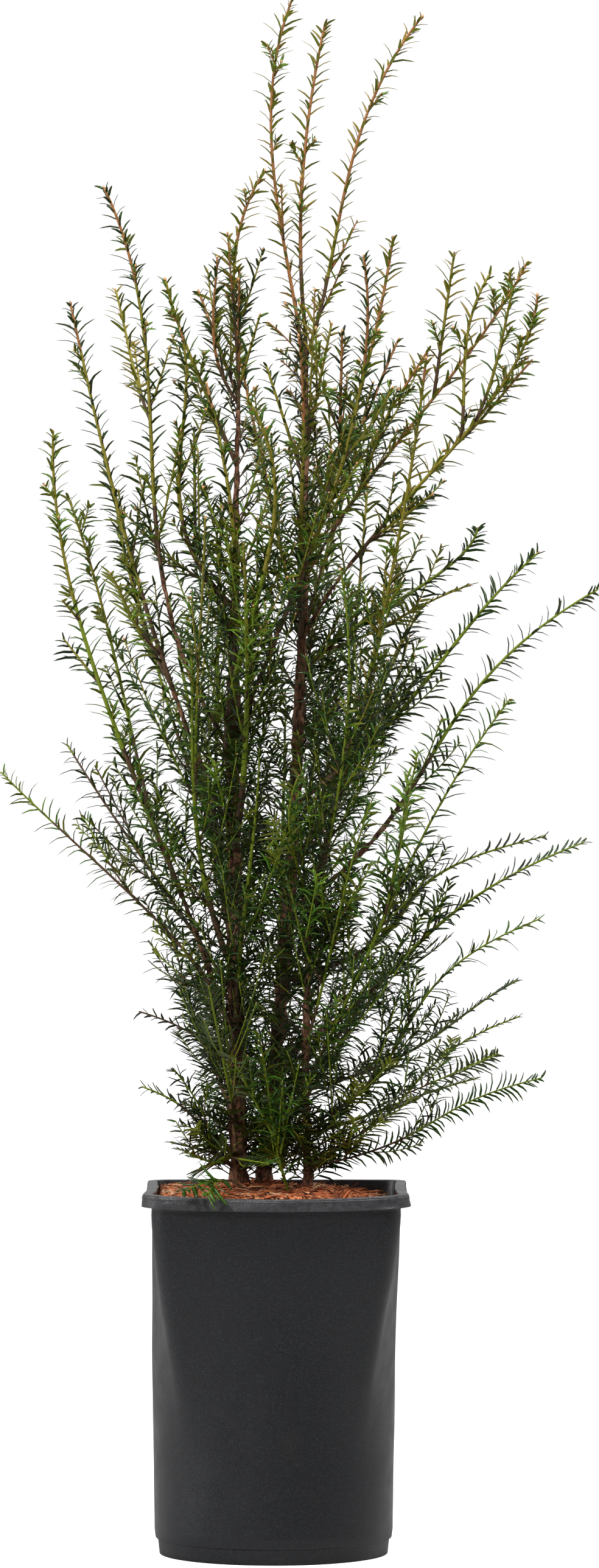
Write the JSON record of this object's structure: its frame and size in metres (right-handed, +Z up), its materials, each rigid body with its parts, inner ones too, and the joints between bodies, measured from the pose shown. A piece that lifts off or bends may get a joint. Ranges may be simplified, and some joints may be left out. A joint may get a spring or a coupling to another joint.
{
  "type": "potted english yew",
  "caption": "Young English yew in a square-topped black nursery pot filled with bark mix: upright stems and boughs with feathery needled shoots. It stands on its pot's flat underside.",
  "frame": {"origin": "middle of the pot's flat underside", "axes": "+Z up along the plant, +X to the right seen from the front, +Y away from the front"},
  "size_m": [0.5223, 0.3659, 1.356],
  "materials": {
    "pot": "matte",
    "potting_mix": "rough",
    "bark": "rough",
    "needles": "satin"
  },
  "bodies": {
    "root": {"bough_crossing": "bark", "bough_left_long": "bark", "bough_left_tall": "bark", "bough_left_upper": "bark", "bough_right_arch": "bark", "bough_right_bent": "bark", "bough_right_far": "bark", "bough_right_upper": "bark", "needles_back_left": "needles", "needles_back_low_left": "needles", "needles_back_low_right": "needles", "needles_back_middle": "needles", "needles_back_right": "needles", "needles_back_upper": "needles", "needles_crossing": "needles", "needles_front_arched": "needles", "needles_front_basal": "needles", "needles_front_low": "needles", "needles_front_right": "needles", "needles_front_spray": "needles", "needles_front_stem": "needles", "needles_front_tall": "needles", "needles_front_upper": "needles", "needles_inner_left": "needles", "needles_inner_low": "needles", "needles_inner_right": "needles", "needles_inner_top": "needles", "needles_left_crown": "needles", "needles_left_foot": "needles", "needles_left_front": "needles", "needles_left_inner": "needles", "needles_left_long": "needles", "needles_left_low": "needles", "needles_left_lowest": "needles", "needles_left_small": "needles", "needles_left_tall": "needles", "needles_left_upper": "needles", "needles_left_upright": "needles", "needles_red_rod": "needles", "needles_right_arch": "needles", "needles_right_arch_upper": "needles", "needles_right_bent": "needles", "needles_right_curve": "needles", "needles_right_far": "needles", "needles_right_foot": "needles", "needles_right_level": "needles", "needles_right_low": "needles", "needles_right_low_back": "needles", "needles_right_middle": "needles", "needles_right_upper": "needles", "needles_right_wide": "needles", "needles_rim_spray": "needles", "needles_top_left": "needles", "needles_top_middle": "needles", "needles_top_right": "needles", "pot": "pot", "potting_mix": "potting_mix", "stem_left": "bark", "stem_middle": "bark", "stem_right": "bark"}
  },
  "joints": []
}
